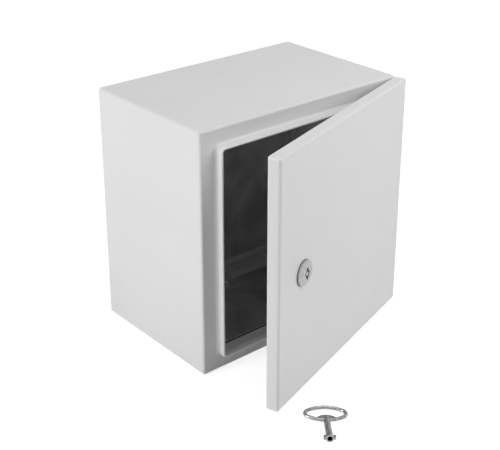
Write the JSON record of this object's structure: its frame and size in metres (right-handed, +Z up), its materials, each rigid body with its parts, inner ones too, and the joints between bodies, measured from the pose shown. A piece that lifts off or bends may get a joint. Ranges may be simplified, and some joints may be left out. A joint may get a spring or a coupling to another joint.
{
  "type": "steel wall enclosure",
  "caption": "Compact folded-steel wall enclosure with a hinged door, rain channel, mounting plate, gland plate, double-bit quarter-turn lock and loose key.",
  "frame": {"origin": "centre of the rear wall face, which is the centre of the four wall fixing holes", "axes": "+Z up; the wall is at +Y and the door faces -Y; +X to the right as the door is faced"},
  "size_m": [0.301, 0.3768, 0.3],
  "materials": {
    "grey_paint": "fine-textured semi-gloss powder coat, light grey",
    "galvanised_sheet": "zinc-plated sheet, slightly mottled",
    "zinc_plate": "bright zinc plating",
    "cast_zinc": "satin die-cast zinc",
    "bright_zinc": "polished die-cast zinc",
    "foam_gasket": "foamed-in-place polyurethane",
    "black_rubber": "matt rubber"
  },
  "bodies": {
    "box": {"body_shell": "grey_paint", "rear_panel": "grey_paint", "mounting_plate": "galvanised_sheet", "plate_studs": "zinc_plate", "plate_washers": "zinc_plate", "plate_nuts": "zinc_plate", "gland_seal": "black_rubber", "gland_plate": "galvanised_sheet", "gland_studs": "zinc_plate", "gland_nuts": "zinc_plate", "upper_body_hinge": "zinc_plate", "lower_body_hinge": "zinc_plate", "hinge_screws": "zinc_plate", "hinge_nuts": "zinc_plate", "earth_stud": "zinc_plate", "earth_washer": "zinc_plate", "earth_nut": "zinc_plate"},
    "door": {"door_panel": "grey_paint", "door_gasket": "foam_gasket", "upper_door_hinge": "zinc_plate", "lower_door_hinge": "zinc_plate", "upper_hinge_pin": "zinc_plate", "lower_hinge_pin": "zinc_plate", "lock_housing": "cast_zinc", "lock_seal": "black_rubber", "lock_nut": "zinc_plate", "door_earth_stud": "zinc_plate", "door_earth_washer": "zinc_plate", "door_earth_nut": "zinc_plate"},
    "lock": {"lock_insert": "cast_zinc", "lock_spindle": "cast_zinc", "lock_cam": "zinc_plate", "cam_washer": "zinc_plate", "cam_screw": "zinc_plate"},
    "key": {"key": "bright_zinc"}
  },
  "joints": [
    {"name": "door_hinge", "type": "hinge", "parent": "box", "child": "door", "pos_m": [0.143, -0.203, 0], "axis": [0, 0, 1], "range_deg": [-18, 100]},
    {"name": "lock_turn", "type": "hinge", "parent": "door", "child": "lock", "pos_m": [-0.08404, -0.28413, 0], "axis": [0.309, -0.9511, 0], "range_deg": [-90, 0]},
    {"name": "key_lift", "type": "slide", "parent": "door", "child": "key", "axis": [0, 0, 1], "range_m": [0, 0.12]}
  ]
}
